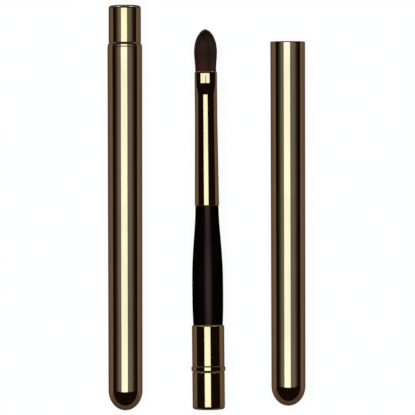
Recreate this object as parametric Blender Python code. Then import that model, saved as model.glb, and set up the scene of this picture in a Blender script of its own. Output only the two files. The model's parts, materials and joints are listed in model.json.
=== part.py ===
"""Travel lip brush with a domed metal case, shown twice and laid flat, long axes along +Y.

On the left the brush is put away in its case, head inwards, so that only the end of its collar shows.
In the middle the second brush lies taken out, and its empty case lies on the right.
Every piece is turned or lofted along its own +Z and then laid down by its set's empty.
"""

import math

import bmesh
import bpy

# Case tube, whose length follows from the brush that it holds
TUBE_DIAMETER = 0.0090
TUBE_WALL = 0.00028
TUBE_DRAFT = 0.00009
DOME_HEIGHT = 0.0052
DOME_WALL = 0.0003
MOUTH_OVERLAP = 0.0006
TIP_CLEARANCE = 0.0058

# Clearances
SLIDE_CLEARANCE = 0.00003
FIT_CLEARANCE = 0.00003
SEAT_CLEARANCE = 0.00002
END_CLEARANCE = 0.00005

# Collar: end cup, grooved stop ring and upper sleeve on one core, from the closed end up
SLEEVE_WALL = 0.00025
CUP_LENGTH = 0.0098
CUP_FLOOR = 0.0006
CUP_CORNER_RADIUS = 0.00075
CUP_CROWN = 0.00012
CUP_FLAT_RADIUS = 0.0022
GROOVE_WIDTH = 0.00025
GROOVE_DEPTH = 0.00014
RING_LENGTH = 0.00121
RING_RISE = 0.00021
HAIRLINE_WIDTH = 0.00005
SLEEVE_LENGTH = 0.01067
SLEEVE_EDGE_RADIUS = 0.0003
LIP_LENGTH = 0.0004
CORE_SETBACK = 0.0016
SOCKET_WALL = 0.00088
SOCKET_DEPTH = 0.0073

# Handle
HANDLE_LENGTH = 0.03097
HANDLE_RIM_STEP = 0.00037
HANDLE_SWELL = 0.0002
HANDLE_BELLY_HEIGHT = 0.0090
HANDLE_NECK_STEP = 0.00014
NECK_TENON_LENGTH = 0.0110
TENON_CHAMFER = 0.0003
FOOT_CURVE_SHARE = 2.5
NECK_CURVE_SHARE = 1.3

# Ferrule, measured down from its flattened mouth
FERRULE_LENGTH = 0.03466
FERRULE_WALL = 0.0002
FERRULE_BASE_DIAMETER = 0.0063
FERRULE_WAIST_DIAMETER = 0.00582
FERRULE_MOUTH_DEPTH = 0.0040
FERRULE_EDGE_ROLL = 0.00012
FLAT_LENGTH = 0.0028
SLOPE_LENGTH = 0.0034
WAIST_LENGTH = 0.0063
FLAT_FULLNESS = 1.6

# Hair
HAIR_LENGTH = 0.01125
HAIR_BELLY_HEIGHT = 0.00536
HAIR_BELLY_WIDTH = 0.00596
HAIR_BELLY_DEPTH = 0.0038
HAIR_KNEE_HEIGHT = 0.0047
ROOT_INSET = 0.0004
ROOT_SLICE_LENGTH = 0.0022
ROOT_PLUG_LENGTH = 0.0070
HAIR_COLUMNS = 10
HAIR_ROWS = 8
STRAND_FILL_SHARE = 0.86
STRAND_KNEE_SHARE = 0.92
TIP_ROUND_SHARE = 0.6
WIDTH_NARROWING_SHARE = 0.35
DEPTH_NARROWING_SHARE = 0.8

# Layout on the table
SET_SPACING = 0.0211
OPEN_TUBE_RAISE = 0.0011
OPEN_BRUSH_RAISE = 0.00008
OPEN_BRUSH_SHIFT = 0.00046
OPEN_BRUSH_LEAN = math.radians(0.4)

# Smoothness of the curves
ROUND_SIDES = 28
DOME_STEPS = 6
CORNER_STEPS = 3
RING_STEPS = 3
NECK_STEPS = 8
FOOT_STEPS = 3
SLOPE_STEPS = 4
SHARP_ANGLE = math.radians(35)

# Sizes that follow from those above
TUBE_RADIUS = TUBE_DIAMETER / 2
BORE_RADIUS = TUBE_RADIUS - TUBE_WALL
SLEEVE_RADIUS = BORE_RADIUS - SLIDE_CLEARANCE
SLEEVE_BORE_RADIUS = SLEEVE_RADIUS - SLEEVE_WALL
CORE_RADIUS = SLEEVE_BORE_RADIUS - FIT_CLEARANCE
SOCKET_RADIUS = CORE_RADIUS - SOCKET_WALL
HANDLE_FOOT_RADIUS = SLEEVE_RADIUS - HANDLE_RIM_STEP
HANDLE_BELLY_RADIUS = HANDLE_FOOT_RADIUS + HANDLE_SWELL
HANDLE_NECK_RADIUS = FERRULE_BASE_DIAMETER / 2 - HANDLE_NECK_STEP
RING_PEAK_RADIUS = SLEEVE_RADIUS + RING_RISE
MOUTH_BORE_RADIUS = RING_PEAK_RADIUS + SEAT_CLEARANCE

# Heights along the brush, from the flat of its closed end to the tip of the hair
RING_BOTTOM = CUP_LENGTH + GROOVE_WIDTH
RING_TOP = RING_BOTTOM + RING_LENGTH
SLEEVE_BOTTOM = RING_TOP + HAIRLINE_WIDTH
COLLAR_TOP = SLEEVE_BOTTOM + SLEEVE_LENGTH
CORE_TOP = COLLAR_TOP - CORE_SETBACK
FERRULE_BASE = COLLAR_TOP + HANDLE_LENGTH
FERRULE_MOUTH = FERRULE_BASE + FERRULE_LENGTH
HAIR_TIP = FERRULE_MOUTH + HAIR_LENGTH
TUBE_LENGTH = DOME_WALL + TIP_CLEARANCE + HAIR_TIP - RING_TOP + MOUTH_OVERLAP


def clear_scene():
    for old in list(bpy.data.objects):
        bpy.data.objects.remove(old, do_unlink=True)


def principled(name, colour, roughness, metallic):
    material = bpy.data.materials.new(name)
    material.use_nodes = True
    shader = material.node_tree.nodes["Principled BSDF"]
    shader.inputs["Base Color"].default_value = (*colour, 1)
    shader.inputs["Roughness"].default_value = roughness
    shader.inputs["Metallic"].default_value = metallic
    return material


def finished_mesh(name, shape, material):
    """Turns a bmesh into a named mesh with outward faces, smooth rounds and its material."""
    bmesh.ops.recalc_face_normals(shape, faces=shape.faces)
    mesh = bpy.data.meshes.new(name)
    shape.to_mesh(mesh)
    shape.free()
    mesh.shade_smooth()
    mesh.set_sharp_from_angle(angle=SHARP_ANGLE)
    mesh.materials.append(material)
    return mesh


def pressed_reach(x, y, ratio):
    """How far out a point is in a pressed tube, from 0 on its axis to 1 at its wall.

    x and y are shares of its half width and half depth, and ratio is its depth through its width.
    The flatter it is, the fuller its corners are, because pressing flattens only its front and back.
    """
    power = 2 + FLAT_FULLNESS * (1 - ratio)
    return (abs(x) ** power + abs(y) ** power) ** (1 / power)


def pressed(x, y, ratio):
    """Carries a point of the unit disc into the section of a pressed tube."""
    reach = pressed_reach(x, y, ratio)
    if reach == 0:
        return x, y
    share = math.hypot(x, y) / reach
    return x * share, y * share


def ring_points(shape, half_width, half_depth, height):
    """One level of a loft: a round or pressed ring of points, or the single point of a pole."""
    if half_width == 0:
        return [shape.verts.new((0, 0, height))]
    points = []
    for side in range(ROUND_SIDES):
        angle = math.tau * side / ROUND_SIDES
        x, y = pressed(math.cos(angle), math.sin(angle), half_depth / half_width)
        points.append(shape.verts.new((half_width * x, half_depth * y, height)))
    return points


def join_levels(shape, lower, upper):
    """Fills the band between two levels, which closes to a fan where one is a pole."""
    count = max(len(lower), len(upper))
    for side in range(count):
        following = (side + 1) % count
        if len(lower) == 1:
            shape.faces.new((lower[0], upper[following], upper[side]))
        elif len(upper) == 1:
            shape.faces.new((lower[side], lower[following], upper[0]))
        else:
            shape.faces.new((lower[side], lower[following], upper[following], upper[side]))


def lofted(name, sections, material, through=False):
    """Skins (half width, half depth, height) sections. A through piece joins its last to its first."""
    shape = bmesh.new()
    levels = [ring_points(shape, *section) for section in sections]
    for lower, upper in zip(levels, levels[1:]):
        join_levels(shape, lower, upper)
    if through:
        join_levels(shape, levels[-1], levels[0])
    else:
        for end in (levels[0], levels[-1]):
            if len(end) > 1:
                shape.faces.new(end)
    return finished_mesh(name, shape, material)


def turned(name, profile, material, through=False):
    """A piece turned on a lathe from its (radius, height) profile."""
    return lofted(name, [(radius, radius, height) for radius, height in profile], material, through)


def quarter(centre, radii, start, end, steps):
    """Points of an oval arc round a centre, from one angle to another, both ends included."""
    points = []
    for step in range(steps + 1):
        angle = start + (end - start) * step / steps
        points.append((centre[0] + radii[0] * math.cos(angle), centre[1] + radii[1] * math.sin(angle)))
    return points


def seat_height(radius):
    """How far past the ring's top the case's conical seat is, where it has a radius.

    The seat's flank lies at 45 degrees, a clearance away from the ring's round edge.
    """
    reach = math.sqrt(2) * (RING_RISE + SEAT_CLEARANCE)
    return reach - RING_RISE - (radius - SLEEVE_RADIUS)


def case_tube(material):
    """Drawn tube with a domed end, whose mouth is opened to pass over the ring on to a conical seat."""
    dome_radius = TUBE_RADIUS - TUBE_DRAFT
    outer_dome = quarter((0, DOME_HEIGHT), (dome_radius, DOME_HEIGHT), -math.pi / 2, 0, DOME_STEPS)
    bore_end = (BORE_RADIUS, DOME_HEIGHT - DOME_WALL)
    inner_dome = quarter((0, DOME_HEIGHT), bore_end, 0, -math.pi / 2, DOME_STEPS)
    mouth = [
        (TUBE_RADIUS, TUBE_LENGTH),
        (MOUTH_BORE_RADIUS, TUBE_LENGTH),
        (MOUTH_BORE_RADIUS, TUBE_LENGTH - MOUTH_OVERLAP - seat_height(MOUTH_BORE_RADIUS)),
        (BORE_RADIUS, TUBE_LENGTH - MOUTH_OVERLAP - seat_height(BORE_RADIUS)),
    ]
    profile = [(0, 0)] + outer_dome[1:] + mouth + inner_dome[:-1]
    profile.append((0, DOME_WALL))
    return turned("case_tube", profile, material)


def end_cup(material):
    """Closed lower half of the collar: a cup with a flat, faintly crowned end and round corners."""
    centre = (SLEEVE_RADIUS - CUP_CORNER_RADIUS, CUP_CROWN + CUP_CORNER_RADIUS)
    radii = (CUP_CORNER_RADIUS, CUP_CORNER_RADIUS)
    corner = quarter(centre, radii, -math.pi / 2, 0, CORNER_STEPS)
    profile = [(CUP_FLAT_RADIUS, 0)] + corner + [
        (SLEEVE_RADIUS, CUP_LENGTH),
        (SLEEVE_BORE_RADIUS, CUP_LENGTH),
        (SLEEVE_BORE_RADIUS, CUP_FLOOR),
    ]
    return turned("end_cup", profile, material)


def stop_ring(material):
    """Flat ring with round edges, against which the case stops, and the V groove below it."""
    radii = (RING_RISE, RING_RISE)
    lower_centre = (SLEEVE_RADIUS, RING_BOTTOM + RING_RISE)
    upper_centre = (SLEEVE_RADIUS, RING_TOP - RING_RISE)
    profile = [
        (SLEEVE_BORE_RADIUS, CUP_LENGTH + SEAT_CLEARANCE),
        (SLEEVE_RADIUS - GROOVE_DEPTH, CUP_LENGTH + SEAT_CLEARANCE),
    ]
    profile += quarter(lower_centre, radii, -math.pi / 2, 0, RING_STEPS)
    profile += quarter(upper_centre, radii, 0, math.pi / 2, RING_STEPS)
    profile.append((SLEEVE_BORE_RADIUS, RING_TOP))
    return turned("stop_ring", profile, material, through=True)


def upper_sleeve(material):
    """Upper half of the collar, whose rim turns in to close on the handle."""
    lip_radius = HANDLE_FOOT_RADIUS + FIT_CLEARANCE
    centre = (SLEEVE_RADIUS - SLEEVE_EDGE_RADIUS, COLLAR_TOP - SLEEVE_EDGE_RADIUS)
    radii = (SLEEVE_EDGE_RADIUS, SLEEVE_EDGE_RADIUS)
    edge = quarter(centre, radii, 0, math.pi / 2, CORNER_STEPS)
    profile = [(SLEEVE_BORE_RADIUS, SLEEVE_BOTTOM), (SLEEVE_RADIUS, SLEEVE_BOTTOM)] + edge + [
        (lip_radius, COLLAR_TOP),
        (lip_radius, COLLAR_TOP - LIP_LENGTH),
        (SLEEVE_BORE_RADIUS, COLLAR_TOP - LIP_LENGTH),
    ]
    return turned("upper_sleeve", profile, material, through=True)


def collar_core(material):
    """Moulded core that carries both sleeves and the ring, with the socket for the handle's foot."""
    profile = [
        (CORE_RADIUS, CUP_FLOOR + END_CLEARANCE),
        (CORE_RADIUS, CORE_TOP),
        (SOCKET_RADIUS, CORE_TOP),
        (SOCKET_RADIUS, CORE_TOP - SOCKET_DEPTH),
    ]
    return turned("collar_core", profile, material)


def ferrule_section(below):
    """Outer half width and half depth of the ferrule at a distance below its mouth."""
    waist_radius = FERRULE_WAIST_DIAMETER / 2
    base_radius = FERRULE_BASE_DIAMETER / 2
    cone_start = FLAT_LENGTH + SLOPE_LENGTH + WAIST_LENGTH
    if below >= cone_start:
        share = (below - cone_start) / (FERRULE_LENGTH - cone_start)
        radius = waist_radius + (base_radius - waist_radius) * share
        return radius, radius
    share = min(max((below - FLAT_LENGTH) / SLOPE_LENGTH, 0), 1)
    rounded = (1 - math.cos(math.pi * share)) / 2
    half_depth = FERRULE_MOUTH_DEPTH / 2
    return waist_radius, half_depth + (waist_radius - half_depth) * rounded


def ferrule_stations():
    """Distances below the mouth at which the ferrule and what fills it take a section."""
    slope = [FLAT_LENGTH + SLOPE_LENGTH * step / SLOPE_STEPS for step in range(SLOPE_STEPS + 1)]
    return slope + [FLAT_LENGTH + SLOPE_LENGTH + WAIST_LENGTH, FERRULE_LENGTH]


def section_inside(below, clearance):
    """A section that fits the ferrule's inside with a clearance, at its height along the brush."""
    half_width, half_depth = ferrule_section(below)
    inset = FERRULE_WALL + clearance
    return half_width - inset, half_depth - inset, FERRULE_MOUTH - below


def ferrule(material):
    """Seamless ferrule, round at the handle and crimped flat at the mouth, with a rolled edge."""
    outer = []
    for below in ferrule_stations():
        outer.append((*ferrule_section(below), FERRULE_MOUTH - below))
    inner = [section_inside(below, 0) for below in ferrule_stations()]
    mouth_width, mouth_depth = ferrule_section(0)
    rolled = (mouth_width - FERRULE_EDGE_ROLL, mouth_depth - FERRULE_EDGE_ROLL, FERRULE_MOUTH)
    shoulder = (mouth_width, mouth_depth, FERRULE_MOUTH - 2 * FERRULE_EDGE_ROLL)
    sections = outer[::-1] + [shoulder, rolled, section_inside(0, 0)] + inner
    return lofted("ferrule", sections, material, through=True)


def root_plug(material):
    """Set glue that holds the hair's roots where the ferrule goes from flat to round."""
    top = ROOT_INSET + ROOT_SLICE_LENGTH + END_CLEARANCE
    bottom = top + ROOT_PLUG_LENGTH
    stations = [top] + [below for below in ferrule_stations() if top < below < bottom] + [bottom]
    sections = [section_inside(below, FIT_CLEARANCE) for below in stations]
    return lofted("root_plug", sections, material)


def handle_radius(above):
    """Radius of the lacquered handle at a distance above the collar's rim."""
    if above <= HANDLE_BELLY_HEIGHT:
        share = (HANDLE_BELLY_HEIGHT - above) / HANDLE_BELLY_HEIGHT
        return HANDLE_BELLY_RADIUS - HANDLE_SWELL * min(share, 1) ** FOOT_CURVE_SHARE
    share = (above - HANDLE_BELLY_HEIGHT) / (HANDLE_LENGTH - HANDLE_BELLY_HEIGHT)
    eased = (1 + math.cos(math.pi * share**NECK_CURVE_SHARE)) / 2
    return HANDLE_NECK_RADIUS + (HANDLE_BELLY_RADIUS - HANDLE_NECK_RADIUS) * eased


def handle(material):
    """Turned wooden handle with a tenon at each end, one in the collar's core and one in the ferrule."""
    foot = CORE_TOP + END_CLEARANCE
    foot_tenon_radius = SOCKET_RADIUS - FIT_CLEARANCE
    foot_end = CORE_TOP - SOCKET_DEPTH + END_CLEARANCE
    neck = FERRULE_BASE - END_CLEARANCE
    neck_end = FERRULE_BASE + NECK_TENON_LENGTH
    base_radius = section_inside(FERRULE_LENGTH, FIT_CLEARANCE)[0]
    end_radius = section_inside(FERRULE_MOUTH - neck_end, FIT_CLEARANCE)[0]
    profile = [
        (foot_tenon_radius - TENON_CHAMFER, foot_end),
        (foot_tenon_radius, foot_end + TENON_CHAMFER),
        (foot_tenon_radius, foot),
        (handle_radius(0), foot),
    ]
    for step in range(FOOT_STEPS):
        above = HANDLE_BELLY_HEIGHT * step / FOOT_STEPS
        profile.append((handle_radius(above), COLLAR_TOP + above))
    neck_span = neck - COLLAR_TOP - HANDLE_BELLY_HEIGHT
    for step in range(NECK_STEPS + 1):
        above = HANDLE_BELLY_HEIGHT + neck_span * step / NECK_STEPS
        profile.append((handle_radius(above), COLLAR_TOP + above))
    profile += [
        (base_radius, neck),
        (end_radius, neck_end),
        (end_radius - TENON_CHAMFER, neck_end + TENON_CHAMFER),
    ]
    return turned("handle", profile, material)


def hair_flow(height):
    """Half width and half depth of the bundle that the hairs follow, at a height above the mouth."""
    root_width, root_depth, _ = section_inside(0, FIT_CLEARANCE)
    belly_width = HAIR_BELLY_WIDTH / 2
    belly_depth = HAIR_BELLY_DEPTH / 2
    if height <= HAIR_BELLY_HEIGHT:
        share = max(height, 0) / HAIR_BELLY_HEIGHT
        eased = share * share * (3 - 2 * share)
        width = root_width + (belly_width - root_width) * eased
        return width, root_depth + (belly_depth - root_depth) * eased
    share = (height - HAIR_BELLY_HEIGHT) / (HAIR_LENGTH - HAIR_BELLY_HEIGHT)
    width = belly_width * (1 - WIDTH_NARROWING_SHARE * share**2)
    return width, belly_depth * (1 - DEPTH_NARROWING_SHARE * share**2)


def strand_height(outward):
    """Height at which a hair ends: the outer hairs are shorter, so that the tips round to a point.

    outward is the hair's place in the bundle, from 0 in the middle to 1 at its edge.
    """
    low, high = 0, 1
    while high - low > 1 / 4096:
        share = (low + high) / 2
        if outward * (1 - WIDTH_NARROWING_SHARE * share**2) < (1 - share**2) ** TIP_ROUND_SHARE:
            low = share
        else:
            high = share
    return HAIR_BELLY_HEIGHT + (HAIR_LENGTH - HAIR_BELLY_HEIGHT) * low


def round_grid(across, along):
    """Carries a point of the square from -1 to 1 on to the unit disc."""
    x = across * math.sqrt(1 - along * along / 2)
    y = along * math.sqrt(1 - across * across / 2)
    return x, y


def hair_tuft(material):
    """Full oval tuft of three-sided hairs, all grown from one slice of their glued roots."""
    shape = bmesh.new()
    bmesh.ops.create_grid(shape, x_segments=HAIR_COLUMNS, y_segments=HAIR_ROWS, size=1)
    root_width, root_depth = hair_flow(0)
    root_top = FERRULE_MOUTH - ROOT_INSET
    for point in shape.verts:
        x, y = pressed(*round_grid(point.co.x, point.co.y), root_depth / root_width)
        point.co = (x * root_width, y * root_depth, root_top)
    bmesh.ops.triangulate(shape, faces=shape.faces, quad_method="ALTERNATE")
    feet = list(shape.faces)

    edges = [edge for edge in shape.edges if edge.is_boundary]
    walls = bmesh.ops.extrude_edge_only(shape, edges=edges)["geom"]
    lower = [item for item in walls if isinstance(item, bmesh.types.BMVert)]
    bmesh.ops.translate(shape, verts=lower, vec=(0, 0, -ROOT_SLICE_LENGTH))
    rim = [item for item in walls if isinstance(item, bmesh.types.BMEdge)]
    rim = [edge for edge in rim if edge.is_boundary]
    bmesh.ops.contextual_create(shape, geom=rim)

    bmesh.ops.inset_individual(shape, faces=feet, thickness=0)
    for foot in feet:
        grow_strand(shape, foot, (root_width, root_depth))
    return finished_mesh("hair_tuft", shape, material)


def grow_strand(shape, foot, root):
    """Draws one cell of the root slice up to the knee and then to a point at the hair's own height."""
    middle = foot.calc_center_median()
    outward = pressed_reach(middle.x / root[0], middle.y / root[1], root[1] / root[0])
    for point in foot.verts:
        point.co = middle + (point.co - middle) * STRAND_FILL_SHARE

    knee_face = bmesh.ops.extrude_discrete_faces(shape, faces=[foot])["faces"][0]
    knee_width, knee_depth = hair_flow(HAIR_KNEE_HEIGHT)
    for point in knee_face.verts:
        thinned = middle + (point.co - middle) * STRAND_KNEE_SHARE
        x = thinned.x * knee_width / root[0]
        y = thinned.y * knee_depth / root[1]
        point.co = (x, y, FERRULE_MOUTH + HAIR_KNEE_HEIGHT)

    height = strand_height(outward)
    tip_width, tip_depth = hair_flow(height)
    tip = bmesh.ops.poke(shape, faces=[knee_face])["verts"][0]
    tip.co = (middle.x * tip_width / root[0], middle.y * tip_depth / root[1], FERRULE_MOUTH + height)


def set_empty(name, place, turn):
    empty = bpy.data.objects.new(name, None)
    empty.location = place
    empty.rotation_euler = turn
    bpy.context.scene.collection.objects.link(empty)
    return empty


def place_piece(prefix, mesh, parent):
    piece = bpy.data.objects.new(f"{prefix}_{mesh.name}", mesh)
    piece.parent = parent
    bpy.context.scene.collection.objects.link(piece)


def main():
    clear_scene()
    gold = principled("polished_gold_metal", (0.42, 0.31, 0.17), 0.12, 1)
    lacquer = principled("black_lacquer", (0.006, 0.005, 0.005), 0.22, 0)
    plastic = principled("black_plastic", (0.02, 0.018, 0.016), 0.4, 0)
    hair = principled("brown_hair", (0.028, 0.012, 0.009), 0.5, 0)
    glue = principled("set_glue", (0.35, 0.22, 0.09), 0.3, 0)

    tube = case_tube(gold)
    brush = [
        hair_tuft(hair),
        root_plug(glue),
        ferrule(gold),
        handle(lacquer),
        collar_core(plastic),
        upper_sleeve(gold),
        stop_ring(gold),
        end_cup(gold),
    ]

    closed_length = TUBE_LENGTH + RING_TOP - MOUTH_OVERLAP
    top_turn = (-math.pi / 2, 0, 0)
    down_turn = (math.pi / 2, 0, 0)
    leaning_turn = (-math.pi / 2, 0, OPEN_BRUSH_LEAN)
    row_end = -closed_length / 2

    closed_case = set_empty("closed_case", (-SET_SPACING, row_end, TUBE_RADIUS), top_turn)
    closed_brush = set_empty("closed_brush", (-SET_SPACING, -row_end, TUBE_RADIUS), down_turn)
    open_place = (OPEN_BRUSH_SHIFT, row_end + OPEN_BRUSH_RAISE, RING_PEAK_RADIUS)
    open_brush = set_empty("open_brush", open_place, leaning_turn)
    tube_place = (SET_SPACING, row_end + OPEN_TUBE_RAISE, TUBE_RADIUS)
    open_case = set_empty("open_case", tube_place, top_turn)

    place_piece("closed", tube, closed_case)
    place_piece("open", tube, open_case)
    for mesh in brush:
        place_piece("closed", mesh, closed_brush)
        place_piece("open", mesh, open_brush)


main()
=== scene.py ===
import json
import math
import random

import bmesh
import bpy
from mathutils import Matrix, Vector

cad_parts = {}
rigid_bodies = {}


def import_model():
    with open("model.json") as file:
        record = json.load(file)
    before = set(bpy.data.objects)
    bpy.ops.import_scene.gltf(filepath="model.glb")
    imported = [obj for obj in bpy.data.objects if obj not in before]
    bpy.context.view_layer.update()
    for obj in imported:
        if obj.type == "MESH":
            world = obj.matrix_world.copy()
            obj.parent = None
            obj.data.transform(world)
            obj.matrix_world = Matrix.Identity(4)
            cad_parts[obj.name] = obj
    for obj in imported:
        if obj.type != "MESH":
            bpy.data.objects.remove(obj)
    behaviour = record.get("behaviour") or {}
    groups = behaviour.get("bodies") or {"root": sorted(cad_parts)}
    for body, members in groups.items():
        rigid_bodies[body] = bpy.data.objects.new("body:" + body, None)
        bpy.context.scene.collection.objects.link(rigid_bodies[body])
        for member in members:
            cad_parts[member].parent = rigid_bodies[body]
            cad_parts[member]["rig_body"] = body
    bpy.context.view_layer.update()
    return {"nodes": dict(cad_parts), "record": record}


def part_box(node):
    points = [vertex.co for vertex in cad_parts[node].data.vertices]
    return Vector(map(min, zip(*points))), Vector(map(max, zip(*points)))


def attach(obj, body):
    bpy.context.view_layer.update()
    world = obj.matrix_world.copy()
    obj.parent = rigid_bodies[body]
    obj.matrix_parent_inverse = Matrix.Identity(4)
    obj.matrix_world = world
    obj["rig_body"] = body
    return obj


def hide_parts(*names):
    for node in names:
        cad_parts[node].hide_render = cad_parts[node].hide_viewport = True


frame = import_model()

# Case tube, in metres, as in the part
TUBE_LENGTH = 0.0943
TUBE_RADIUS = 0.0045
TUBE_WALL = 0.00028
TUBE_DRAFT = 0.00009
DOME_HEIGHT = 0.0052
DOME_WALL = 0.0003
MOUTH_OVERLAP = 0.0006
RIM_ROUND = 0.00007
RIM_LENGTH = 0.00035
BORE_RADIUS = TUBE_RADIUS - TUBE_WALL

# Clearances
FIT_CLEARANCE = 0.00003
SEAT_CLEARANCE = 0.00002
END_CLEARANCE = 0.00005

# Collar, from its closed end up
SLEEVE_RADIUS = BORE_RADIUS - FIT_CLEARANCE
SLEEVE_BORE_RADIUS = SLEEVE_RADIUS - 0.00025
CUP_LENGTH = 0.0098
CUP_FLOOR = 0.0006
CUP_CORNER_RADIUS = 0.00075
CUP_CROWN = 0.00012
CUP_FLAT_RADIUS = 0.0022
GROOVE_WIDTH = 0.00025
GROOVE_DEPTH = 0.00014
RING_LENGTH = 0.00121
RING_RISE = 0.00021
RING_PEAK_RADIUS = SLEEVE_RADIUS + RING_RISE
MOUTH_BORE_RADIUS = RING_PEAK_RADIUS + SEAT_CLEARANCE
SLEEVE_GAP = 0.00005
SLEEVE_LENGTH = 0.01067
SLEEVE_EDGE_RADIUS = 0.0003
LIP_SLOPE = math.radians(50)
CUP_EDGE_RADIUS = 0.0002
EDGE_BREAK = 0.00012
LIP_LENGTH = 0.0004
CORE_TOP_SETBACK = 0.0016
SOCKET_RADIUS = SLEEVE_BORE_RADIUS - FIT_CLEARANCE - 0.00088
SOCKET_DEPTH = 0.0073

# Handle
HANDLE_LENGTH = 0.03097
HANDLE_FOOT_RADIUS = SLEEVE_RADIUS - 0.00037
HANDLE_SWELL = 0.0002
HANDLE_BELLY_RADIUS = HANDLE_FOOT_RADIUS + HANDLE_SWELL
HANDLE_BELLY_HEIGHT = 0.0090
FOOT_CURVE_SHARE = 2.5
NECK_CURVE_SHARE = 1.3
NECK_TENON_LENGTH = 0.0110
TENON_CHAMFER = 0.0003

# Ferrule
FERRULE_LENGTH = 0.03466
FERRULE_WALL = 0.0002
FERRULE_BASE_RADIUS = 0.00315
FERRULE_WAIST_RADIUS = 0.00291
FERRULE_MOUTH_HALF_DEPTH = 0.0020
FERRULE_EDGE_ROLL = 0.00017
FERRULE_ROLL_LENGTH = 0.0006
FLAT_LENGTH = 0.0028
SLOPE_LENGTH = 0.0034
WAIST_LENGTH = 0.0063
FLAT_FULLNESS = 1.6
FERRULE_BASE_ROLL = 0.00008
CREASE_DEPTH = 0.00004
CREASE_REACH = math.radians(2.4)
CREASE_START = 0.0009
CREASE_END = 0.0033
CREASE_RUN_OUT = 0.0004
HANDLE_NECK_RADIUS = FERRULE_BASE_RADIUS - 0.00014

# Hair
HAIR_LENGTH = 0.01125
HAIR_BELLY_HEIGHT = 0.00536
HAIR_BELLY_HALF_WIDTH = 0.00298
HAIR_BELLY_HALF_DEPTH = 0.0019
TIP_ROUND_SHARE = 0.6
WIDTH_NARROWING_SHARE = 0.35
DEPTH_NARROWING_SHARE = 0.8
HAIR_COUNT = 1500
HAIR_THICKNESS = 0.000074
HAIR_SIDES = 3
HAIR_STEPS = 7
HAIR_ROOT_DEPTH = 0.0006
HAIR_TIP_JITTER = 0.0001
HAIR_SWAY = 0.00003
TIP_TAPER_START = 0.97
TIP_SEARCH_STEPS = 12
GOLDEN_ANGLE = math.pi * (3 - math.sqrt(5))
SEED = 7

# Heights along the brush, from the flat of its closed end
RING_BOTTOM = CUP_LENGTH + GROOVE_WIDTH
RING_TOP = RING_BOTTOM + RING_LENGTH
SLEEVE_BOTTOM = RING_TOP + SLEEVE_GAP
COLLAR_TOP = SLEEVE_BOTTOM + SLEEVE_LENGTH
CORE_TOP = COLLAR_TOP - CORE_TOP_SETBACK
FERRULE_BASE = COLLAR_TOP + HANDLE_LENGTH
FERRULE_MOUTH = FERRULE_BASE + FERRULE_LENGTH

# Smoothness
ROUND_SIDES = 144
DOME_STEPS = 28
CORNER_STEPS = 10
EDGE_STEPS = 4
FLAT_STEPS = 12
CREASE_STEPS = 4
CURVE_STEPS = 40
SLOPE_STEPS = 20
SHARP_ANGLE = math.radians(40)
INWARD_LEAN = 0.3  # of a face's normal, from which on the face is part of the bore
HELD_STRETCH = 0.0004  # a straight stretch longer than this gets two points more
HOLD_DISTANCE = 0.00002  # from the stretch's ends to those points

# Finishes. A scale is in noise cells per metre, across (x, y) and along (z) a piece's axis
NOISE_RANGE = (0.3, 0.7)
COARSE_DETAIL = 2
PLAIN_DETAIL = 3
FINE_DETAIL = 4
CASE_COLOUR = (0.92, 0.79, 0.52)
COLLAR_COLOUR = (0.92, 0.79, 0.46)
METAL_SHADES = (0.93, 1.05)
METAL_CLOUD_SCALE = (160, 160, 60)
METAL_LINE_SCALE = (9000, 9000, 60)
METAL_LINE_DEPTH = 0.0000004
METAL_ROUGHNESS = (0.04, 0.065)
METAL_EDGE_TINT = (0.38, 0.27, 0.2, 1)
METAL_COAT_WEIGHT = 0.25
METAL_COAT_ROUGHNESS = 0.03
BORE_COLOURS = ((0.045, 0.027, 0.012), (0.11, 0.07, 0.032))
BORE_STAIN_SCALE = (900, 900, 90)
BORE_ROUGHNESS = (0.6, 0.8)
BORE_SPECULAR = 0.15
LACQUER_COLOURS = ((0.0011, 0.0006, 0.0006), (0.0022, 0.0012, 0.0011))
LACQUER_CLOUD_SCALE = (300, 300, 120)
LACQUER_PEEL_SCALE = (2600, 2600, 1500)
LACQUER_PEEL_DEPTH = 0.000003
LACQUER_ROUGHNESS = (0.24, 0.3)
LACQUER_TINT = (1, 0.6, 0.5, 1)
PLASTIC_COLOURS = ((0.008, 0.006, 0.005), (0.014, 0.011, 0.009))
PLASTIC_GRAIN_SCALE = (6000, 6000, 6000)
PLASTIC_GRAIN_DEPTH = 0.000006
PLASTIC_ROUGHNESS = (0.42, 0.6)
GLUE_COLOURS = ((0.25, 0.14, 0.05), (0.42, 0.27, 0.12))
GLUE_CLOUD_SCALE = (700, 700, 400)
GLUE_ROUGHNESS = (0.2, 0.4)
HAIR_COLOURS_AND_PAINTED_TIP_LIGHT = [
    # (share of the length up, colour)
    (0.0, (0.1, 0.031, 0.022)),
    (0.3, (0.088, 0.029, 0.02)),
    (0.5, (0.058, 0.024, 0.016)),
    (0.75, (0.054, 0.025, 0.017)),
    # The tip's lighter colour is painted light: it makes up for the shade and missing sheen at the
    # tapering tips.
    (1.0, (0.13, 0.065, 0.045)),
]
HAIR_TINTS = [(0.0, (0.4, 0.4, 0.4)), (1.0, (1.0, 0.95, 0.9))]
HAIR_ROUGHNESS = (0.4, 0.6)

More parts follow.
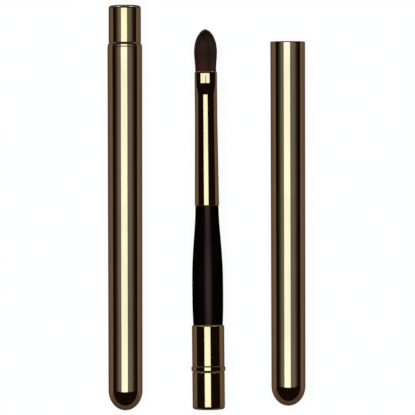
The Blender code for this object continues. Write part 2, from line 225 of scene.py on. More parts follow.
# Studio. A lamp's angles are in degrees along X, from straight overhead, seen from the object
VIEW_WIDTH = 0.10749
CAMERA_HEIGHT = 1.3
CAMERA_X = 0.000233
CAMERA_Y = 0
CAMERA_ROLL = math.radians(-0.13)
LAMP_HEIGHT = 1.0
LAMP_WIDTH = 0.4
LAMP_RADIANCE = 1.24
LAMP_COLOUR = (0.873, 0.95, 1)
LAMP_SPAN = (-26.2, 15.2)
HANDLE_LAMP_SHIFT = 9.5
KEY_RADIANCE = 9.8
KEY_COLOUR = (0.95, 1, 1)
REFLECTOR_COLOUR = (1, 0.89, 0.87)
REFLECTOR_RADIANCES = (0.152, 0.137)
REFLECTOR_FALLOFF = [
    # (angle up to which a step reaches, share of the radiance)
    (43, 1),
    (48, 0.8),
    (53, 0.52),
    (58, 0.3),
    (63, 0.13),
    (70, 0.05),
]
FILL_STRENGTH = 0.15
TENT_HEIGHT = 1.2
TENT_SHOULDER = 2.5
TENT_REACH = 4
DARK_COLOUR = (0.0072, 0.0036, 0.0015)
TABLE_COLOUR = (0.155, 0.105, 0.09)
TABLE_RISE = 0.00003
TABLE_FADE = (0.052, 0.057)  # distances along Y
TABLE_FADED_SHARE = 0.55
END_CARD_DISTANCE = 1.1
END_CARD_COLOUR = (0.75, 0.75, 0.75)
END_CARDS = [
    # (name, azimuths from +Y in degrees, heights)
    ("left_card", (-44, -24), (0.1, 0.7)),
    ("right_card", (24, 44), (0.1, 0.7)),
    ("low_card", (-50, 50), (0.03, 0.185)),
]
QUAD = [(0, 1, 2, 3)]
FLOOR_SIZE = 8
FLOOR_WHITE = 0.9
FLOOR_GLOW_SHARE = 0.92
FLOOR_FADE = (0.12, 0.6)  # distances from the origin


def quarter(centre, radii, start, end, steps):
    """Points of an oval arc round a centre, both ends included."""
    points = []
    for step in range(steps + 1):
        angle = start + (end - start) * step / steps
        across = centre[0] + radii[0] * math.cos(angle)
        points.append((across, centre[1] + radii[1] * math.sin(angle)))
    return points


def edge_round(centre, radius, start, end):
    """Points of a small rounded edge."""
    return quarter(centre, (radius, radius), start, end, EDGE_STEPS)


def held(profile):
    """Adds a point close to each end of a long straight stretch, which then shades straight."""
    points = [profile[0]]
    for before, after in zip(profile, profile[1:]):
        length = math.dist(before, after)
        if length > HELD_STRETCH:
            for share in (HOLD_DISTANCE / length, 1 - HOLD_DISTANCE / length):
                points.append(tuple(a + (b - a) * share for a, b in zip(before, after)))
        points.append(after)
    return points


def pressed(x, y, ratio):
    """Carries a point of the unit disc into a tube's section, pressed to a depth to width ratio."""
    power = 2 + FLAT_FULLNESS * (1 - ratio)
    share = math.hypot(x, y) / (abs(x) ** power + abs(y) ** power) ** (1 / power)
    return x * share, y * share


def ring_angles(creased):
    """Even angles round a level, and close ones across the creases in the middle of both flats."""
    angles = [math.tau * side / ROUND_SIDES for side in range(ROUND_SIDES)]
    if creased:
        for middle in (math.pi / 2, math.pi * 3 / 2):
            for step in range(1, CREASE_STEPS + 1):
                away = CREASE_REACH * step / CREASE_STEPS
                angles += [middle - away, middle + away]
    return sorted(angles)


def ring_points(shape, half_width, half_depth, height, crease=None):
    """One level of a loft, or the single point of a pole.

    A crease is how deep the press's line is at this level, in the middle of both flats.
    """
    if half_width == 0:
        return [shape.verts.new((0, 0, height))]
    points = []
    for angle in ring_angles(crease is not None):
        x, y = pressed(math.cos(angle), math.sin(angle), half_depth / half_width)
        y *= half_depth
        away = abs(angle % math.pi - math.pi / 2)
        if crease and away < CREASE_REACH:
            y -= math.copysign(crease * (1 + math.cos(math.pi * away / CREASE_REACH)) / 2, y)
        points.append(shape.verts.new((half_width * x, y, height)))
    return points


def join_levels(shape, lower, upper):
    """Faces between two levels, one of which may be a pole."""
    count = max(len(lower), len(upper))
    for side in range(count):
        following = (side + 1) % count
        if len(lower) == 1:
            shape.faces.new((lower[0], upper[following], upper[side]))
        elif len(upper) == 1:
            shape.faces.new((lower[side], lower[following], upper[0]))
        else:
            shape.faces.new((lower[side], lower[following], upper[following], upper[side]))


def smooth_mesh(name, shape):
    """Ends the building of a shape as a mesh that shades smoothly."""
    mesh = bpy.data.meshes.new(name)
    shape.to_mesh(mesh)
    shape.free()
    mesh.shade_smooth()
    return mesh


def lofted(name, sections, through=False):
    """Skins sections of half width, half depth, height and, on the ferrule, depth of the crease.

    A through piece joins its last section to its first.
    """
    shape = bmesh.new()
    levels = [ring_points(shape, *section) for section in held(sections)]
    for lower, upper in zip(levels, levels[1:]):
        join_levels(shape, lower, upper)
    if through:
        join_levels(shape, levels[-1], levels[0])
    else:
        for end in (levels[0], levels[-1]):
            if len(end) > 1:
                shape.faces.new(end)
    bmesh.ops.recalc_face_normals(shape, faces=shape.faces)
    mesh = smooth_mesh(name, shape)
    mesh.set_sharp_from_angle(angle=SHARP_ANGLE)
    return mesh


def turned(name, profile, through=False):
    """A piece turned from its (radius, height) profile."""
    return lofted(name, [(radius, radius, height) for radius, height in profile], through)


def seat_height(radius):
    """How far past the ring's top the case's 45 degree seat is, where it has a radius."""
    reach = math.sqrt(2) * (RING_RISE + SEAT_CLEARANCE)
    return reach - RING_RISE - (radius - SLEEVE_RADIUS)


def case_tube():
    """Drawn tube with a domed end, its mouth opened to pass over the ring on to a conical seat."""
    centre = (0, DOME_HEIGHT)
    outer_radii = (TUBE_RADIUS - TUBE_DRAFT, DOME_HEIGHT)
    outer_dome = quarter(centre, outer_radii, -math.pi / 2, 0, DOME_STEPS)
    inner_radii = (BORE_RADIUS, DOME_HEIGHT - DOME_WALL)
    inner_dome = quarter(centre, inner_radii, 0, -math.pi / 2, DOME_STEPS)
    rim_centre = (TUBE_RADIUS - RIM_ROUND, TUBE_LENGTH - RIM_LENGTH)
    rim = quarter(rim_centre, (RIM_ROUND, RIM_LENGTH), 0, math.pi / 2, CORNER_STEPS)
    mouth = [
        (MOUTH_BORE_RADIUS, TUBE_LENGTH),
        (MOUTH_BORE_RADIUS, TUBE_LENGTH - MOUTH_OVERLAP - seat_height(MOUTH_BORE_RADIUS)),
        (BORE_RADIUS, TUBE_LENGTH - MOUTH_OVERLAP - seat_height(BORE_RADIUS)),
    ]
    profile = [(0, 0)] + outer_dome[1:] + rim + mouth + inner_dome[:-1] + [(0, DOME_WALL)]
    mesh = turned("case_tube", profile)
    for face in mesh.polygons:
        if is_inside(face):
            face.material_index = 1
    return mesh


def is_inside(face):
    """Whether a face of the case looks towards the case's own axis or along its bore."""
    outward = Vector((face.center.x, face.center.y, 0))
    in_dome = face.center.z < DOME_HEIGHT
    if in_dome:
        return face.normal.dot(face.center - Vector((0, 0, DOME_HEIGHT))) < 0
    return face.normal.dot(outward) < -INWARD_LEAN * outward.length


def end_cup():
    """Closed lower half of the collar, with a faintly crowned end and round corners."""
    corner_centre = (SLEEVE_RADIUS - CUP_CORNER_RADIUS, CUP_CROWN + CUP_CORNER_RADIUS)
    corner_radii = (CUP_CORNER_RADIUS, CUP_CORNER_RADIUS)
    corner = quarter(corner_centre, corner_radii, -math.pi / 2, 0, CORNER_STEPS)
    crown = []
    for step in range(CORNER_STEPS):
        share = step / CORNER_STEPS
        radius = CUP_FLAT_RADIUS + (corner[0][0] - CUP_FLAT_RADIUS) * share
        crown.append((radius, CUP_CROWN * share * share))
    edge_centre = (SLEEVE_RADIUS - CUP_EDGE_RADIUS, CUP_LENGTH - CUP_EDGE_RADIUS)
    edge = edge_round(edge_centre, CUP_EDGE_RADIUS, 0, math.pi / 2)
    inside = [(SLEEVE_BORE_RADIUS, CUP_LENGTH), (SLEEVE_BORE_RADIUS, CUP_FLOOR), (0, CUP_FLOOR)]
    return turned("end_cup", [(0, 0)] + crown + corner + edge + inside)


def stop_ring():
    """Flat ring with round edges, against which the case stops, and the V groove below it."""
    radii = (RING_RISE, RING_RISE)
    lower_centre = (SLEEVE_RADIUS, RING_BOTTOM + RING_RISE)
    upper_centre = (SLEEVE_RADIUS, RING_TOP - RING_RISE)
    profile = [
        (SLEEVE_BORE_RADIUS, CUP_LENGTH + SEAT_CLEARANCE),
        (SLEEVE_RADIUS - GROOVE_DEPTH, CUP_LENGTH + SEAT_CLEARANCE),
    ]
    profile += quarter(lower_centre, radii, -math.pi / 2, 0, CORNER_STEPS)
    profile += quarter(upper_centre, radii, 0, math.pi / 2, CORNER_STEPS)
    profile.append((SLEEVE_BORE_RADIUS, RING_TOP))
    return turned("stop_ring", profile, through=True)


def upper_sleeve():
    """Upper half of the collar, whose rim turns in to close on the handle."""
    lip_radius = HANDLE_FOOT_RADIUS + FIT_CLEARANCE
    foot_centre = (SLEEVE_RADIUS - EDGE_BREAK, SLEEVE_BOTTOM + EDGE_BREAK)
    foot = edge_round(foot_centre, EDGE_BREAK, -math.pi / 2, 0)
    round_end = SLEEVE_RADIUS - SLEEVE_EDGE_RADIUS * (1 - math.cos(LIP_SLOPE))
    round_top = COLLAR_TOP - (round_end - lip_radius) / math.tan(LIP_SLOPE)
    edge_height = round_top - SLEEVE_EDGE_RADIUS * math.sin(LIP_SLOPE)
    edge_centre = (SLEEVE_RADIUS - SLEEVE_EDGE_RADIUS, edge_height)
    edge = edge_round(edge_centre, SLEEVE_EDGE_RADIUS, 0, LIP_SLOPE)
    lip = [
        (lip_radius, COLLAR_TOP),
        (lip_radius, COLLAR_TOP - LIP_LENGTH),
        (SLEEVE_BORE_RADIUS, COLLAR_TOP - LIP_LENGTH),
    ]
    profile = [(SLEEVE_BORE_RADIUS, SLEEVE_BOTTOM)] + foot + edge + lip
    return turned("upper_sleeve", profile, through=True)


def handle_radius(above):
    """Radius of the lacquered handle at a distance above the collar's rim."""
    if above <= HANDLE_BELLY_HEIGHT:
        share = (HANDLE_BELLY_HEIGHT - above) / HANDLE_BELLY_HEIGHT
        return HANDLE_BELLY_RADIUS - HANDLE_SWELL * min(share, 1) ** FOOT_CURVE_SHARE
    share = (above - HANDLE_BELLY_HEIGHT) / (HANDLE_LENGTH - HANDLE_BELLY_HEIGHT)
    eased = (1 + math.cos(math.pi * share**NECK_CURVE_SHARE)) / 2
    return HANDLE_NECK_RADIUS + (HANDLE_BELLY_RADIUS - HANDLE_NECK_RADIUS) * eased


def handle():
    """Turned handle with its waist, and a tenon at each end."""
    foot = CORE_TOP + END_CLEARANCE
    tenon_radius = SOCKET_RADIUS - FIT_CLEARANCE
    tenon_end = CORE_TOP - SOCKET_DEPTH + END_CLEARANCE
    neck = FERRULE_BASE - END_CLEARANCE
    neck_end = FERRULE_BASE + NECK_TENON_LENGTH
    neck_radius = section_inside(FERRULE_LENGTH, FIT_CLEARANCE)[0]
    neck_end_radius = section_inside(FERRULE_MOUTH - neck_end, FIT_CLEARANCE)[0]
    profile = [
        (0, tenon_end),
        (tenon_radius - TENON_CHAMFER, tenon_end),
        (tenon_radius, tenon_end + TENON_CHAMFER),
        (tenon_radius, foot),
        (handle_radius(0), foot),
    ]
    for step in range(CURVE_STEPS + 1):
        above = (neck - COLLAR_TOP) * step / CURVE_STEPS
        profile.append((handle_radius(above), COLLAR_TOP + above))
    profile += [
        (neck_radius, neck),
        (neck_end_radius, neck_end),
        (neck_end_radius - TENON_CHAMFER, neck_end + TENON_CHAMFER),
        (0, neck_end + TENON_CHAMFER),
    ]
    return turned("handle", profile)


def ferrule_section(below):
    """Outer half width and half depth of the ferrule at a distance below its mouth."""
    cone_start = FLAT_LENGTH + SLOPE_LENGTH + WAIST_LENGTH
    if below >= cone_start:
        share = (below - cone_start) / (FERRULE_LENGTH - cone_start)
        radius = FERRULE_WAIST_RADIUS + (FERRULE_BASE_RADIUS - FERRULE_WAIST_RADIUS) * share
        return radius, radius
    share = min(max((below - FLAT_LENGTH) / SLOPE_LENGTH, 0), 1)
    rounded = (1 - math.cos(math.pi * share)) / 2
    depth = FERRULE_MOUTH_HALF_DEPTH + (FERRULE_WAIST_RADIUS - FERRULE_MOUTH_HALF_DEPTH) * rounded
    return FERRULE_WAIST_RADIUS, depth


def section_inside(below, clearance):
    """A section that fits the ferrule's inside with a clearance, at its height along the brush."""
    half_width, half_depth = ferrule_section(below)
    inset = FERRULE_WALL + clearance
    return half_width - inset, half_depth - inset, FERRULE_MOUTH - below


def crease_depth(below):
    """Depth of the press's line at a distance below the ferrule's mouth."""
    inside = min(below - CREASE_START, CREASE_END - below) / CREASE_RUN_OUT
    return CREASE_DEPTH * min(max(inside, 0), 1)


def ferrule():
    """Seamless ferrule, round at the handle and pressed at the mouth, with a rolled edge."""
    flat_step = (FLAT_LENGTH - FERRULE_ROLL_LENGTH) / FLAT_STEPS
    stations = [FERRULE_ROLL_LENGTH + flat_step * step for step in range(FLAT_STEPS)]
    stations += [FLAT_LENGTH + SLOPE_LENGTH * step / SLOPE_STEPS for step in range(SLOPE_STEPS + 1)]
    stations += [FLAT_LENGTH + SLOPE_LENGTH + WAIST_LENGTH]
    outer = []
    for below in stations:
        outer.append((*ferrule_section(below), FERRULE_MOUTH - below, crease_depth(below)))
    base_centre = (FERRULE_BASE_RADIUS - FERRULE_BASE_ROLL, FERRULE_BASE + FERRULE_BASE_ROLL)
    base = edge_round(base_centre, FERRULE_BASE_ROLL, -math.pi / 2, 0)
    sections = [(radius, radius, height, 0) for radius, height in base] + outer[::-1]
    mouth_width, mouth_depth = ferrule_section(0)
    for inset, rise in quarter((1, 0), (1, 1), math.pi, math.pi / 2, CORNER_STEPS)[1:]:
        inward = FERRULE_EDGE_ROLL * inset
        height = FERRULE_MOUTH - FERRULE_ROLL_LENGTH * (1 - rise)
        sections.append((mouth_width - inward, mouth_depth - inward, height, 0))
    inner = [(*section_inside(below, 0), 0) for below in [0] + stations + [FERRULE_LENGTH]]
    return lofted("ferrule", sections + inner, through=True)


def hair_flow(height):
    """Half width and half depth of the hairs' bundle, at a height above the mouth."""
    root_width, root_depth = section_inside(0, FIT_CLEARANCE)[:2]
    if height <= HAIR_BELLY_HEIGHT:
        share = max(height, 0) / HAIR_BELLY_HEIGHT
        eased = share * share * (3 - 2 * share)
        width = root_width + (HAIR_BELLY_HALF_WIDTH - root_width) * eased
        return width, root_depth + (HAIR_BELLY_HALF_DEPTH - root_depth) * eased
    share = (height - HAIR_BELLY_HEIGHT) / (HAIR_LENGTH - HAIR_BELLY_HEIGHT)
    width = HAIR_BELLY_HALF_WIDTH * (1 - WIDTH_NARROWING_SHARE * share**2)
    return width, HAIR_BELLY_HALF_DEPTH * (1 - DEPTH_NARROWING_SHARE * share**2)


def strand_height(outward):
    """Height at which a hair ends, for its place in the bundle: 0 in the middle, 1 at the edge."""
    low, high = 0, 1
    for _ in range(TIP_SEARCH_STEPS):
        share = (low + high) / 2
        if outward * (1 - WIDTH_NARROWING_SHARE * share**2) < (1 - share**2) ** TIP_ROUND_SHARE:
            low = share
        else:
            high = share
    return HAIR_BELLY_HEIGHT + (HAIR_LENGTH - HAIR_BELLY_HEIGHT) * low


def hair_path(place, top, lean):
    """Points, thickness shares and length shares along one hair, from its root to its tip.

    Its place is the one in the unit disc that the bundle's sections are stretched from.
    """
    path = []
    for step in range(HAIR_STEPS + 1):
        share = step / HAIR_STEPS
        height = -HAIR_ROOT_DEPTH + (top + HAIR_ROOT_DEPTH) * share
        width, depth = hair_flow(height)
        sway = HAIR_SWAY * share * share
        x = place[0] * width + lean[0] * sway
        y = place[1] * depth + lean[1] * sway
        thickness = min(1, (1 - share) / (1 - TIP_TAPER_START))
        path.append((Vector((x, y, FERRULE_MOUTH + height)), thickness, share))
    return path


def hair_rings(shape, path, roll):
    """The rings of corners round one hair's path. The last is its tip, a single point."""
    rings = []
    for point, thickness, share in path:
        if share == 1:
            rings.append([shape.verts.new(point)])
            continue
        ring = []
        for side in range(HAIR_SIDES):
            angle = roll + math.tau * side / HAIR_SIDES
            reach = HAIR_THICKNESS / 2 * thickness
            outward = Vector((math.cos(angle), math.sin(angle), 0))
            ring.append(shape.verts.new(point + outward * reach))
        rings.append(ring)
    return rings


def skin_hair(shape, rings, strand_map, tint):
    """Faces between one hair's rings, and one to close its root."""
    for step in range(HAIR_STEPS):
        lower, upper = rings[step], rings[step + 1]
        for side in range(HAIR_SIDES):
            following = (side + 1) % HAIR_SIDES
            corners = [lower[side], lower[following]]
            heights = [step, step, step + 1]
            if len(upper) == 1:
                corners.append(upper[0])
            else:
                corners += [upper[following], upper[side]]
                heights.append(step + 1)
            face = shape.faces.new(corners)
            for loop, height in zip(face.loops, heights):
                loop[strand_map].uv = (tint, height / HAIR_STEPS)
    shape.faces.new(rings[0][::-1])


def hair_tuft():
    """Dense oval tuft of fine tapered hairs, which belly out over the mouth and round to a point.

    They are spread evenly, like seeds in a sunflower. The UV map holds each hair's own number
    across and its share of the length up.
    """
    chance = random.Random(SEED)
    shape = bmesh.new()
    strand_map = shape.loops.layers.uv.new("strand")
    root_width, root_depth = hair_flow(0)
    for number in range(HAIR_COUNT):
        outward = math.sqrt((number + 0.5) / HAIR_COUNT)
        turn = number * GOLDEN_ANGLE
        top = strand_height(outward) - HAIR_TIP_JITTER * chance.random()
        lean = (chance.uniform(-1, 1), chance.uniform(-1, 1))
        tint = chance.random()
        roll = chance.uniform(0, math.tau)
        x, y = outward * math.cos(turn), outward * math.sin(turn)
        path = hair_path(pressed(x, y, root_depth / root_width), top, lean)
        skin_hair(shape, hair_rings(shape, path, roll), strand_map, tint)
    return smooth_mesh("hair_tuft", shape)


def node_material(name):
    material = bpy.data.materials.new(name)
    material.use_nodes = True
    tree = material.node_tree
    return material, tree, tree.nodes["Principled BSDF"]


def set_inputs(node, values):
    for name, value in values.items():
        node.inputs[name].default_value = value


def added(tree, kind, values, sources):
    """Adds a shader node of a kind, sets values on some inputs and links sources to others."""
    node = tree.nodes.new(f"ShaderNode{kind}")
    set_inputs(node, values)
    for name, source in sources.items():
        tree.links.new(source, node.inputs[name])
    return node


def own_space(tree):
    """Places in the piece's own space."""
    return tree.nodes.new("ShaderNodeTexCoord").outputs["Object"]


def reckoned(tree, operation, *sources):
    """Result of a Math node."""
    node = tree.nodes.new("ShaderNodeMath")
    node.operation = operation
    for number, source in enumerate(sources):
        tree.links.new(source, node.inputs[number])
    return node.outputs["Value"]


def carried(tree, source, given, wanted):
    """Carries what lies between two given values to between two wanted ones, and holds it there."""
    values = {"From Min": given[0], "From Max": given[1], "To Min": wanted[0], "To Max": wanted[1]}
    return added(tree, "MapRange", values, {"Value": source}).outputs["Result"]


def noise(tree, space, scale, detail=PLAIN_DETAIL):
    """Noise in a space, scaled apart across (x, y) and along (z) the piece's axis."""
    spread = added(tree, "Mapping", {"Scale": scale}, {"Vector": space})
    values = {"Scale": 1, "Detail": detail}
    return added(tree, "TexNoise", values, {"Vector": spread.outputs["Vector"]}).outputs["Fac"]


def ramp(tree, source, stops):
    """Colours between (place, colour) stops."""
    node = added(tree, "ValToRGB", {}, {"Fac": source})
    band = node.color_ramp
    for number, (place, colour) in enumerate(stops):
        stop = band.elements[number] if number < 2 else band.elements.new(place)
        stop.position = place
        stop.color = (*colour, 1)
    return node.outputs["Color"]


def mottled(tree, shader, grain, colours):
    """Varies a surface's colour between two with a noise."""
    stops = list(zip(NOISE_RANGE, colours))
    tree.links.new(ramp(tree, grain, stops), shader.inputs["Base Color"])


def roughened(tree, shader, grain, roughness):
    """Varies a surface's roughness between two values with a noise."""
    tree.links.new(carried(tree, grain, NOISE_RANGE, roughness), shader.inputs["Roughness"])


def bumped(tree, shader, grain, depth):
    bump = added(tree, "Bump", {"Strength": 1, "Distance": depth}, {"Height": grain})
    tree.links.new(bump.outputs["Normal"], shader.inputs["Normal"])


def polished_metal(name, colour):
    """Polished and lacquered metal: drawing lines along the axis, cloudy tint and uneven polish."""
    material, tree, shader = node_material(name)
    space = own_space(tree)
    shades = [tuple(value * shade for value in colour) for shade in METAL_SHADES]
    mottled(tree, shader, noise(tree, space, METAL_CLOUD_SCALE), shades)
    lines = noise(tree, space, METAL_LINE_SCALE, FINE_DETAIL)
    roughened(tree, shader, lines, METAL_ROUGHNESS)
    bumped(tree, shader, lines, METAL_LINE_DEPTH)
    set_inputs(
        shader,
        {
            "Metallic": 1,
            "Specular Tint": METAL_EDGE_TINT,
            "Coat Weight": METAL_COAT_WEIGHT,
            "Coat Roughness": METAL_COAT_ROUGHNESS,
        },
    )
    return material


def dull_bore():
    """Undrawn inside of the case: dull, stained brass that mirrors next to nothing."""
    material, tree, shader = node_material("case_bore")
    stain = noise(tree, own_space(tree), BORE_STAIN_SCALE, FINE_DETAIL)
    mottled(tree, shader, stain, BORE_COLOURS)
    roughened(tree, shader, stain, BORE_ROUGHNESS)
    set_inputs(shader, {"Specular IOR Level": BORE_SPECULAR})
    return material


def lacquer():
    """Black lacquer over turned wood, with a faint orange peel."""
    material, tree, shader = node_material("black_lacquer")
    space = own_space(tree)
    mottled(tree, shader, noise(tree, space, LACQUER_CLOUD_SCALE), LACQUER_COLOURS)
    peel = noise(tree, space, LACQUER_PEEL_SCALE, COARSE_DETAIL)
    roughened(tree, shader, peel, LACQUER_ROUGHNESS)
    bumped(tree, shader, peel, LACQUER_PEEL_DEPTH)
    set_inputs(shader, {"Specular Tint": LACQUER_TINT})
    return material


def plastic():
    """Black moulded plastic with a fine spark-eroded grain."""
    material, tree, shader = node_material("black_plastic")
    grain = noise(tree, own_space(tree), PLASTIC_GRAIN_SCALE)
    mottled(tree, shader, grain, PLASTIC_COLOURS)
    roughened(tree, shader, grain, PLASTIC_ROUGHNESS)
    bumped(tree, shader, grain, PLASTIC_GRAIN_DEPTH)
    return material


def set_glue():
    """Amber set glue, cloudy and uneven."""
    material, tree, shader = node_material("set_glue")
    cloud = noise(tree, own_space(tree), GLUE_CLOUD_SCALE)
    mottled(tree, shader, cloud, GLUE_COLOURS)
    roughened(tree, shader, cloud, GLUE_ROUGHNESS)
    return material


def brush_hair():
    """Dark natural hair: redder at the root and darker above, with painted light that makes the tip
    lighter, and each hair with its own tint.
    """
    material, tree, shader = node_material("brown_hair")
    uv = tree.nodes.new("ShaderNodeUVMap")
    uv.uv_map = "strand"
    strand = added(tree, "SeparateXYZ", {}, {"Vector": uv.outputs["UV"]})
    tint, length = strand.outputs["X"], strand.outputs["Y"]
    colours = {"Color1": ramp(tree, length, HAIR_COLOURS_AND_PAINTED_TIP_LIGHT), "Color2": ramp(tree, tint, HAIR_TINTS)}
    blend = added(tree, "MixRGB", {"Fac": 1}, colours)
    blend.blend_type = "MULTIPLY"
    tree.links.new(blend.outputs["Color"], shader.inputs["Base Color"])
    roughened(tree, shader, tint, HAIR_ROUGHNESS)
    return material


def put(prefix, mesh, materials, matrix):
    """One finished piece, which stands for its CAD node and rides on that node's body.

    The pieces don't show in each other's mirror images: they were photographed one by one.
    """
    node = f"{prefix}_{mesh.name}"
    piece = bpy.data.objects.new(f"{node}_finish", mesh)
    if not mesh.materials:
        for material in materials:
            mesh.materials.append(material)
    bpy.context.scene.collection.objects.link(piece)
    piece.matrix_world = matrix
    piece.visible_glossy = False
    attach(piece, frame["nodes"][node]["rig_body"])
    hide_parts(node)
    return piece


def paint_node(node, material):
    """Finishes a hidden piece that keeps its CAD solid. It shows in no mirror image either."""
    frame["nodes"][node].visible_glossy = False
    mesh = frame["nodes"][node].data
    mesh.materials.clear()
    mesh.materials.append(material)


def axis_frame(place, axis):
    """Turns a piece's own +Z along a level axis from a place, with its own X level."""
    up = Vector((0, 0, 1))
    side = axis.cross(up).normalized()
    matrix = Matrix((side, up, axis.normalized())).transposed().to_4x4()
    matrix.translation = place
    return matrix


def brush_frame(mount_name):
    """A brush lies from the middle of its closed end, which is a mount, against that one's axis."""
    mounts = frame["record"]["mounts"]
    mount = next(mount for mount in mounts if mount["name"] == mount_name)
    return axis_frame(Vector(mount["pos_m"]), -Vector(mount["axis"]))


def tube_frame(node):
    """A tube lies from the pole of its dome, with its mouth towards +Y."""
    low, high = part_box(node)
    middle = (low + high) / 2
    return axis_frame(Vector((middle.x, low.y, middle.z)), Vector((0, 1, 0)))


def dress_object():
    """Puts the finished pieces of both sets in place and returns those that the lamps light."""
    case_gold = polished_metal("case_gold", CASE_COLOUR)
    collar_gold = polished_metal("collar_gold", COLLAR_COLOUR)
    bore = dull_bore()
    black = lacquer()
    moulded = plastic()
    hair = brush_hair()
    glue = set_glue()

    tube = case_tube()
    brush = [
        (hair_tuft(), hair, "hair"),
        (ferrule(), collar_gold, "gold_metal"),
        (handle(), black, "black_lacquer"),
        (upper_sleeve(), collar_gold, "gold_metal"),
        (stop_ring(), collar_gold, "gold_metal"),
        (end_cup(), collar_gold, "gold_metal"),
    ]
    pieces = []
    for prefix in ("closed", "open"):
        place = tube_frame(f"{prefix}_case_tube")
        pieces.append(put(prefix, tube, [case_gold, bore], place))
        place = brush_frame(f"{prefix}_brush_end_face")
        for mesh, material, slot in brush:
            pieces.append(put(prefix, mesh, [material], place))
        paint_node(f"{prefix}_root_plug", glue)
        paint_node(f"{prefix}_collar_core", moulded)
    return pieces


def square(half, height):
    """Corners of a level square of half a side, anticlockwise as seen from above."""
    return [(half * x, half * y, height) for x, y in ((-1, -1), (1, -1), (1, 1), (-1, 1))]


def flat_piece(name, corners, faces, material):
    """A piece of the studio, with flat faces."""
    mesh = bpy.data.meshes.new(name)
    mesh.from_pydata(corners, [], faces)
    mesh.materials.append(material)
    piece = bpy.data.objects.new(name, mesh)
    bpy.context.scene.collection.objects.link(piece)
    return piece


def seen_directly(tree, camera_share=None):
    """1 for rays from the camera, a mirror image or glass, and 0 for the light's own bounces.

    A camera share dims the camera's own rays alone.
    """
    rays = tree.nodes.new("ShaderNodeLightPath").outputs
    seen = rays["Is Camera Ray"]
    if camera_share:
        seen = reckoned(tree, "MULTIPLY", seen, camera_share)
    for name in ("Is Glossy Ray", "Is Transmission Ray"):
        seen = reckoned(tree, "MAXIMUM", seen, rays[name])
    return seen


def mixed(tree, share, first, second):
    """Blends two shaders by the second one's share."""
    blend = added(tree, "MixShader", {}, {"Fac": share})
    tree.links.new(first, blend.inputs[1])
    tree.links.new(second, blend.inputs[2])
    return blend.outputs["Shader"]


def white_world():
    """White to look at, and a weak even fill for everything it lights."""
    world = bpy.data.worlds.new("studio")
    bpy.context.scene.world = world
    world.use_nodes = True
    tree = world.node_tree
    fill = tree.nodes["Background"]
    set_inputs(fill, {"Color": (1, 1, 1, 1), "Strength": FILL_STRENGTH})
    backdrop = added(tree, "Background", {"Color": (1, 1, 1, 1), "Strength": 1}, {})
    surface = mixed(
        tree, seen_directly(tree), fill.outputs["Background"], backdrop.outputs["Background"]
    )
    tree.links.new(surface, tree.nodes["World Output"].inputs["Surface"])


def pale_floor():
    """Matt white floor that keeps the object's shadow and fades into the backdrop far away."""
    material, tree, shader = node_material("pale_floor")
    white = (FLOOR_WHITE, FLOOR_WHITE, FLOOR_WHITE, 1)
    set_inputs(shader, {"Base Color": white, "Roughness": 1, "Specular IOR Level": 0})
    glow = tree.nodes.new("ShaderNodeEmission")
    reach = tree.nodes.new("ShaderNodeVectorMath")
    reach.operation = "LENGTH"
    tree.links.new(own_space(tree), reach.inputs[0])
    share = carried(tree, reach.outputs["Value"], FLOOR_FADE, (FLOOR_GLOW_SHARE, 1))
    surface = mixed(
        tree, seen_directly(tree, share), shader.outputs["BSDF"], glow.outputs["Emission"]
    )
    tree.links.new(surface, tree.nodes["Material Output"].inputs["Surface"])
    return flat_piece("floor", square(FLOOR_SIZE / 2, 0), QUAD, material)


def mirror_card(name, colour, corners, faces):
    """A glowing card that shows only in mirror images."""
    material, tree, shader = node_material(name)
    glow = added(tree, "Emission", {"Color": (*colour, 1)}, {})
    tree.links.new(glow.outputs["Emission"], tree.nodes["Material Output"].inputs["Surface"])
    tree.nodes.remove(shader)
    card = flat_piece(name, corners, faces, material)
    card.visible_camera = False
    card.visible_diffuse = False
    card.visible_transmission = False
    card.visible_volume_scatter = False
    card.visible_shadow = False
    return card


def dark_tent():
    """Dark canopy round and over the set, for polished metal's dark bands."""
    corners = square(TENT_SHOULDER, TENT_HEIGHT) + square(TENT_REACH, 0)
    faces = [(0, 1, 2, 3), (0, 1, 5, 4), (1, 2, 6, 5), (2, 3, 7, 6), (3, 0, 4, 7)]
    mirror_card("dark_canopy", DARK_COLOUR, corners, faces)


def brown_table():
    """The brown ground that the metal was shot on, in place of the white floor in mirror images.

    It is darker past both ends of the set.
    """
    corners = square(FLOOR_SIZE / 2, TABLE_RISE)
    table = mirror_card("brown_table", TABLE_COLOUR, corners, QUAD)
    tree = table.data.materials[0].node_tree
    place = added(tree, "SeparateXYZ", {}, {"Vector": own_space(tree)})
    reach = reckoned(tree, "ABSOLUTE", place.outputs["Y"])
    strength = carried(tree, reach, TABLE_FADE, (1, TABLE_FADED_SHARE))
    tree.links.new(strength, tree.nodes["Emission"].inputs["Strength"])
    return table


def end_cards():
    """White cards past the hair's end, which show along the metal when seen from the other end."""
    cards = []
    for name, azimuths, (low, high) in END_CARDS:
        near, far = (END_CARD_DISTANCE * math.tan(math.radians(angle)) for angle in azimuths)
        outline = ((near, low), (far, low), (far, high), (near, high))
        corners = [(x, END_CARD_DISTANCE, z) for x, z in outline]
        cards.append(mirror_card(name, END_CARD_COLOUR, corners, QUAD))
    return cards


def overhead_lamp(name, span, radiance, colour):
    """A level soft box that fills a span of angles along X, seen from the object."""
    low_x, high_x = sorted(LAMP_HEIGHT * math.tan(math.radians(angle)) for angle in span)
    light = bpy.data.lights.new(name, "AREA")
    light.shape = "RECTANGLE"
    light.size = high_x - low_x
    light.size_y = LAMP_WIDTH
    light.energy = radiance * math.pi * light.size * light.size_y
    light.color = colour
    lamp = bpy.data.objects.new(name, light)
    lamp.location = ((low_x + high_x) / 2, 0, LAMP_HEIGHT)
    lamp.visible_camera = False
    bpy.context.scene.collection.objects.link(lamp)
    return lamp


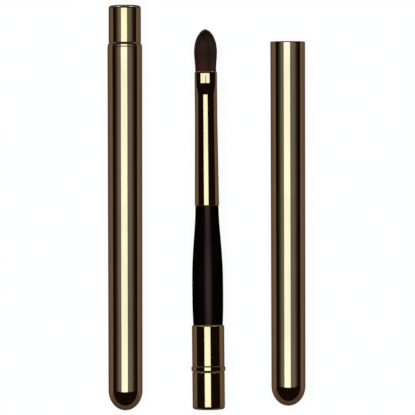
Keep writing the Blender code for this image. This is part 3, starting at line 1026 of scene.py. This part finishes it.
def shown_only_in(lights, name, pieces):
    """Links lights or cards to the only pieces that they light or show in."""
    group = bpy.data.collections.new(name)
    for piece in pieces:
        group.objects.link(piece)
    for light in lights:
        light.light_linking.receiver_collection = group


def reflectors():
    """Weak strips on both sides of the soft box, which fade outwards in steps."""
    strips = []
    for side, start, radiance in zip((-1, 1), LAMP_SPAN, REFLECTOR_RADIANCES):
        for angle, share in REFLECTOR_FALLOFF:
            end = side * angle
            name = f"reflector_{end}"
            strips.append(overhead_lamp(name, (start, end), radiance * share, REFLECTOR_COLOUR))
            start = end
    return strips


def named(pieces, *words):
    """Those pieces whose names hold one of the words."""
    return [piece for piece in pieces if any(word in piece.name for word in words)]


def light_set(pieces, floor, table, cards):
    """The soft box is what the polish mirrors, and a key light of its shape lights matt surfaces.

    The reflectors show only in the closed set and the empty case, because the taken-out brush was
    shot without them, and its handle with the soft box further to the right. The brown table shows
    only in metal, and the end cards not in hair and rings.
    """
    softbox = overhead_lamp("softbox", LAMP_SPAN, LAMP_RADIANCE, LAMP_COLOUR)
    handle_span = [angle + HANDLE_LAMP_SHIFT for angle in LAMP_SPAN]
    handle_box = overhead_lamp("handle_softbox", handle_span, LAMP_RADIANCE, LAMP_COLOUR)
    key = overhead_lamp("key_light", LAMP_SPAN, KEY_RADIANCE, KEY_COLOUR)
    key.visible_glossy = False

    handle = named(pieces, "open_handle")
    others = [floor] + [piece for piece in pieces if piece not in handle]
    long_metal = named(pieces, "case_tube", "ferrule", "upper_sleeve", "end_cup")
    shown_only_in([handle_box], "open_handle", handle)
    shown_only_in([softbox], "all_but_open_handle", others)
    shown_only_in(reflectors(), "shot_with_reflectors", named(pieces, "closed", "case_tube"))
    shown_only_in([table], "metal", long_metal + named(pieces, "stop_ring"))
    shown_only_in(cards, "long_pieces", long_metal + named(pieces, "handle"))


def overhead_camera():
    """Looks straight down from far away, so that the photograph's 415 pixels span VIEW_WIDTH."""
    data = bpy.data.cameras.new("camera")
    data.lens = data.sensor_width * (CAMERA_HEIGHT - TUBE_RADIUS) / VIEW_WIDTH
    camera = bpy.data.objects.new("camera", data)
    camera.location = (CAMERA_X, CAMERA_Y, CAMERA_HEIGHT)
    camera.rotation_euler.z = CAMERA_ROLL
    bpy.context.scene.collection.objects.link(camera)
    bpy.context.scene.camera = camera


def main():
    bpy.context.scene.view_settings.view_transform = "Standard"
    white_world()
    floor = pale_floor()
    table = brown_table()
    dark_tent()
    cards = end_cards()
    overhead_camera()
    pieces = dress_object()
    light_set(pieces, floor, table, cards)


main()
